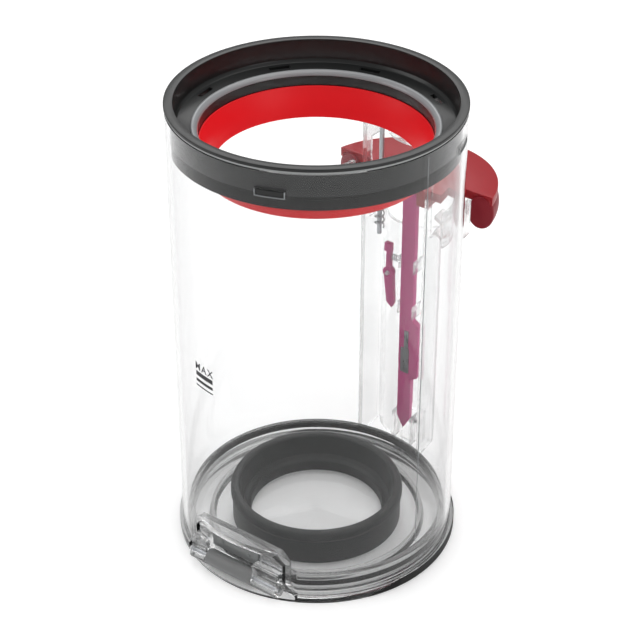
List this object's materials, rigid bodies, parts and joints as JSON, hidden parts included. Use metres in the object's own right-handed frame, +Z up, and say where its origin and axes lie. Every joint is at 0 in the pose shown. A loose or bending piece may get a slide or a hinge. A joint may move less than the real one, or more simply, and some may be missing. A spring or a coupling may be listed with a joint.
{
  "type": "vacuum cleaner dust bin",
  "caption": "Clear cylindrical dust bin for a cordless stick vacuum cleaner, with a hinged base, a centre seal, a red wiper collar and a sliding release lever.",
  "frame": {"origin": "centre of the base's underside, on the bin's axis", "axes": "+Z up the bin's axis to the open mouth, the base's hinge at -Y, the runner with the release lever at +Y"},
  "size_m": [0.1198, 0.1609, 0.2013],
  "materials": {
    "clear": "clear, polished",
    "collar": "satin dark grey",
    "lip": "glossy light grey",
    "gasket": "matt black",
    "wiper": "satin red",
    "steel": "bright",
    "hinge": "grey",
    "seal": "satin dark grey",
    "red": "satin red",
    "dark_red": "satin dark red"
  },
  "bodies": {
    "bin": {"bin_tube": "clear", "collar_ring": "collar", "collar_lip": "lip", "collar_gasket": "lip", "wiper_collar": "wiper", "runner_rail": "clear", "rod_guides": "clear", "spring_post": "steel", "lever_ears": "clear", "hinge_pin": "steel", "hinge_pad": "hinge", "lock_pin": "clear", "lock_spring": "steel", "catch_housing": "clear", "catch_pin": "steel", "catch_spring": "steel"},
    "base": {"base_door": "clear", "door_knuckle": "hinge", "centre_seal": "seal", "seal_retainer": "lip", "edge_seal": "gasket", "door_striker": "steel"},
    "release": {"release_lever": "red", "thumb_pads": "dark_red", "release_rod": "red", "rod_clip": "steel", "return_spring": "steel"},
    "lock": {"lock_lever": "red"},
    "catch": {"catch_rocker": "clear"}
  },
  "joints": [
    {"name": "base_hinge", "type": "hinge", "parent": "bin", "child": "base", "pos_m": [0, -0.0555, 0.0052], "axis": [-1, 0, 0], "range_deg": [0, 95]},
    {"name": "release_slide", "type": "slide", "parent": "bin", "child": "release", "axis": [0, 0, -1], "range_m": [0, 0.008], "stiffness_N_per_m": 300, "springref_m": -0.012, "deforming": ["return_spring"]},
    {"name": "lock_pivot", "type": "hinge", "parent": "bin", "child": "lock", "pos_m": [-0.0052, 0.0609, 0.0935], "axis": [0, -1, 0], "range_deg": [0, 7], "stiffness_Nm_per_rad": 0.02, "springref_deg": -17.19},
    {"name": "catch_pivot", "type": "hinge", "parent": "bin", "child": "catch", "pos_m": [0.0058, 0.0634, 0.0188], "axis": [1, 0, 0], "range_deg": [0, 4.5]}
  ],
  "couplings": [
    {"joint": "catch_pivot", "follows": "release_slide", "rad_per_m": 8.5}
  ]
}
